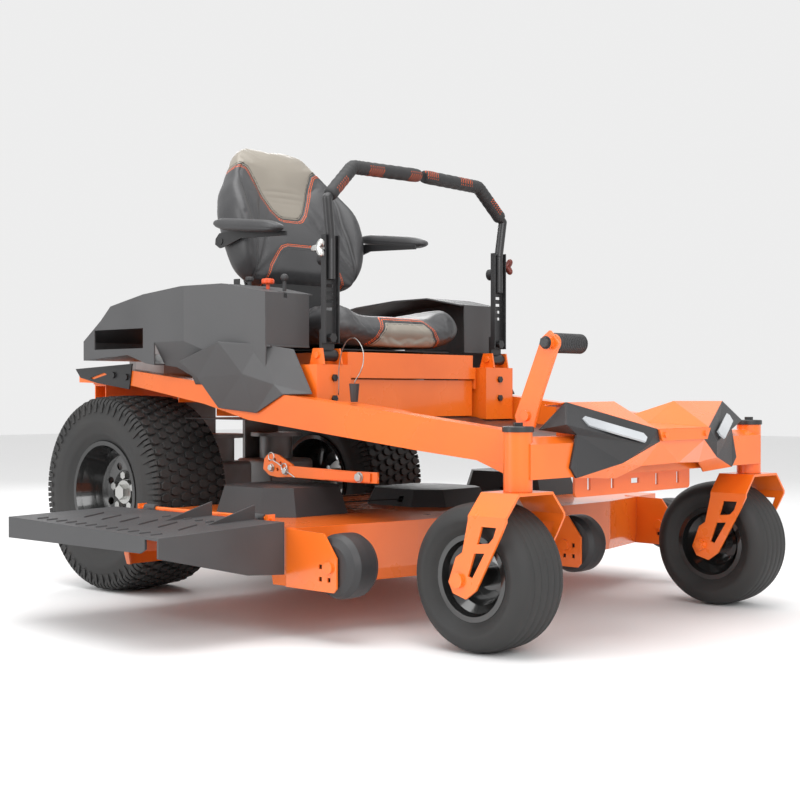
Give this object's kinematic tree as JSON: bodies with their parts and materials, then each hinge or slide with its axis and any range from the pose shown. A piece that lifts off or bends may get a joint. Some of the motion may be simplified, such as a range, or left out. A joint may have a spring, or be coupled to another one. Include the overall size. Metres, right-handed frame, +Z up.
{
  "type": "zero turn mower",
  "caption": "Ride-on zero turn mower with lap bar steering, front casters, side discharge deck with chute, cushioned seat with armrests and moulded rear fenders.",
  "frame": {"origin": "middle of the machine's footprint box, on the ground", "axes": "+Z up, the machine faces -Y, +X is the operator's left; the machine's mid-plane is x = 0.0980 m and its rear axle is y = 0.5682 m"},
  "size_m": [1.896, 2.0684, 1.3184],
  "materials": {
    "orange_paint": "gloss powder coat",
    "black_paint": "satin powder coat",
    "zinc": "zinc plated",
    "cast_alloy": "as cast",
    "moulded_plastic": "fine textured",
    "black_plastic": "satin",
    "orange_plastic": "gloss",
    "turf_tyre": "tread rubber",
    "foam_grip": "foam rubber",
    "deflector_rubber": "moulded rubber",
    "seat_vinyl": "grained vinyl",
    "lamp_lens": "clear",
    "blade_steel": "ground steel",
    "belt_rubber": "belt"
  },
  "bodies": {
    "chassis": {"accessory_plate": "orange_paint", "caster_fittings": "black_paint", "chassis_bolts": "black_paint", "engine": "cast_alloy", "floor_pan": "black_paint", "foot_cowl": "orange_paint", "front_beam": "orange_paint", "headlight_housings": "moulded_plastic", "headlight_lenses": "lamp_lens", "lanyard": "zinc", "lap_bar_towers": "orange_paint", "nose_plate": "orange_paint", "pod_left": "moulded_plastic", "pod_right": "moulded_plastic", "rail_left": "orange_paint", "rail_right": "orange_paint", "rear_frame": "orange_paint", "rear_guards": "black_paint", "seat_base": "orange_paint", "transaxles": "cast_alloy"},
    "wheel_rear_right": {"rear_tyre_right": "turf_tyre", "rear_rim_right": "black_paint", "rear_hub_right": "zinc"},
    "wheel_rear_left": {"rear_tyre_left": "turf_tyre", "rear_rim_left": "black_paint", "rear_hub_left": "zinc"},
    "caster_right": {"caster_fork_right": "orange_paint"},
    "caster_left": {"caster_fork_left": "orange_paint"},
    "caster_wheel_right": {"caster_rim_right": "black_paint", "caster_tyre_right": "turf_tyre"},
    "caster_wheel_left": {"caster_rim_left": "black_paint", "caster_tyre_left": "turf_tyre"},
    "control_right": {"control_pivot_right": "black_paint"},
    "control_left": {"control_pivot_left": "black_paint"},
    "lap_bar_right": {"lap_bar_right": "black_paint", "grip_right": "foam_grip"},
    "lap_bar_left": {"lap_bar_left": "black_paint", "grip_left": "foam_grip"},
    "seat_pan": {"seat_pan": "orange_paint"},
    "seat": {"seat_frame": "black_paint", "seat_cushion": "seat_vinyl", "seat_back": "seat_vinyl"},
    "armrest_right": {"armrest_right": "seat_vinyl"},
    "armrest_left": {"armrest_left": "seat_vinyl"},
    "deck": {"deck_shell": "orange_paint", "belt_covers": "black_plastic", "deck_belt": "belt_rubber"},
    "spindle_right": {"spindle_right": "blade_steel"},
    "spindle_middle": {"spindle_middle": "blade_steel"},
    "spindle_left": {"spindle_left": "blade_steel"},
    "scalp_wheel_right": {"scalp_wheel_right": "turf_tyre"},
    "scalp_wheel_middle": {"scalp_wheel_middle": "turf_tyre"},
    "scalp_wheel_left": {"scalp_wheel_left": "turf_tyre"},
    "chute": {"chute": "deflector_rubber"},
    "lift_pedal": {"lift_pedal": "orange_paint"},
    "choke_knob": {"choke_knob": "black_plastic"},
    "pto_knob": {"pto_knob": "orange_plastic"},
    "throttle_lever": {"throttle_lever": "black_plastic"},
    "key_switch": {"key_switch": "black_plastic"},
    "height_pin": {"height_pin": "black_plastic"}
  },
  "joints": [
    {"name": "rear_wheel_right_turn", "type": "hinge", "parent": "chassis", "child": "wheel_rear_right", "pos_m": [-0.313, 0.5682, 0.28], "axis": [1, 0, 0], "continuous": true},
    {"name": "caster_right_swivel", "type": "hinge", "parent": "chassis", "child": "caster_right", "pos_m": [-0.393, -0.9168, 0.4], "axis": [0, 0, 1], "continuous": true},
    {"name": "caster_wheel_right_turn", "type": "hinge", "parent": "caster_right", "child": "caster_wheel_right", "pos_m": [-0.393, -0.8348, 0.165], "axis": [1, 0, 0], "continuous": true},
    {"name": "lap_bar_right_drive", "type": "hinge", "parent": "chassis", "child": "control_right", "pos_m": [-0.244, -0.1668, 0.664], "axis": [1, 0, 0], "range_deg": [-14, 18]},
    {"name": "lap_bar_right_swing", "type": "hinge", "parent": "control_right", "child": "lap_bar_right", "pos_m": [-0.244, -0.1668, 0.709], "axis": [0, 1, 0], "range_deg": [-36, 0]},
    {"name": "armrest_right_flip", "type": "hinge", "parent": "seat", "child": "armrest_right", "pos_m": [-0.164, 0.3542, 1.003], "axis": [-1, 0, 0], "range_deg": [0, 85]},
    {"name": "rear_wheel_left_turn", "type": "hinge", "parent": "chassis", "child": "wheel_rear_left", "pos_m": [0.509, 0.5682, 0.28], "axis": [1, 0, 0], "continuous": true},
    {"name": "caster_left_swivel", "type": "hinge", "parent": "chassis", "child": "caster_left", "pos_m": [0.589, -0.9168, 0.4], "axis": [0, 0, 1], "continuous": true},
    {"name": "caster_wheel_left_turn", "type": "hinge", "parent": "caster_left", "child": "caster_wheel_left", "pos_m": [0.589, -0.8348, 0.165], "axis": [1, 0, 0], "continuous": true},
    {"name": "lap_bar_left_drive", "type": "hinge", "parent": "chassis", "child": "control_left", "pos_m": [0.44, -0.1668, 0.664], "axis": [1, 0, 0], "range_deg": [-14, 18]},
    {"name": "lap_bar_left_swing", "type": "hinge", "parent": "control_left", "child": "lap_bar_left", "pos_m": [0.44, -0.1668, 0.709], "axis": [0, 1, 0], "range_deg": [0, 36]},
    {"name": "armrest_left_flip", "type": "hinge", "parent": "seat", "child": "armrest_left", "pos_m": [0.36, 0.3542, 1.003], "axis": [-1, 0, 0], "range_deg": [0, 85]},
    {"name": "seat_tilt", "type": "hinge", "parent": "chassis", "child": "seat_pan", "pos_m": [0.098, -0.1438, 0.59], "axis": [1, 0, 0], "range_deg": [0, 16]},
    {"name": "seat_slide", "type": "slide", "parent": "seat_pan", "child": "seat", "axis": [0, -1, 0], "range_m": [-0.06, 0.05]},
    {"name": "deck_lift_pedal", "type": "hinge", "parent": "chassis", "child": "lift_pedal", "pos_m": [-0.298, -0.8658, 0.516], "axis": [-1, 0, 0], "range_deg": [0, 36]},
    {"name": "deck_height", "type": "slide", "parent": "chassis", "child": "deck", "axis": [0, 0, -1], "range_m": [0, 0.085]},
    {"name": "blade_middle_spin", "type": "hinge", "parent": "deck", "child": "spindle_middle", "pos_m": [0.183, -0.1218, 0.2], "axis": [0, 0, 1], "continuous": true},
    {"name": "blade_right_spin", "type": "hinge", "parent": "deck", "child": "spindle_right", "pos_m": [-0.312, -0.0318, 0.2], "axis": [0, 0, 1], "continuous": true},
    {"name": "blade_left_spin", "type": "hinge", "parent": "deck", "child": "spindle_left", "pos_m": [0.678, -0.0318, 0.2], "axis": [0, 0, 1], "continuous": true},
    {"name": "scalp_wheel_right_turn", "type": "hinge", "parent": "deck", "child": "scalp_wheel_right", "pos_m": [-0.532, -0.5298, 0.174], "axis": [1, 0, 0], "continuous": true},
    {"name": "scalp_wheel_middle_turn", "type": "hinge", "parent": "deck", "child": "scalp_wheel_middle", "pos_m": [0.224, -0.6218, 0.174], "axis": [1, 0, 0], "continuous": true},
    {"name": "scalp_wheel_left_turn", "type": "hinge", "parent": "deck", "child": "scalp_wheel_left", "pos_m": [0.843, -0.5058, 0.178], "axis": [1, 0, 0], "continuous": true},
    {"name": "chute_lift", "type": "hinge", "parent": "deck", "child": "chute", "pos_m": [-0.568, -0.0318, 0.27], "axis": [0, 1, 0], "range_deg": [0, 80]},
    {"name": "choke_pull", "type": "slide", "parent": "chassis", "child": "choke_knob", "axis": [0, 0, 1], "range_m": [0, 0.012]},
    {"name": "pto_pull", "type": "slide", "parent": "chassis", "child": "pto_knob", "axis": [0, 0, 1], "range_m": [-0.01, 0]},
    {"name": "throttle_turn", "type": "hinge", "parent": "chassis", "child": "throttle_lever", "pos_m": [-0.302, -0.0678, 0.822], "axis": [1, 0, 0], "range_deg": [-24, 24]},
    {"name": "key_turn", "type": "hinge", "parent": "chassis", "child": "key_switch", "pos_m": [-0.302, 0.1232, 0.86], "axis": [0, 0, -1], "range_deg": [0, 60]},
    {"name": "height_pin_pull", "type": "slide", "parent": "chassis", "child": "height_pin", "axis": [0, 0, 1], "range_m": [0, 0.02], "deforming": ["lanyard"]}
  ],
  "couplings": [
    {"joint": "deck_height", "follows": "deck_lift_pedal", "m_per_rad": 0.13528},
    {"joint": "blade_right_spin", "follows": "blade_middle_spin", "ratio": 1},
    {"joint": "blade_left_spin", "follows": "blade_middle_spin", "ratio": 1}
  ]
}
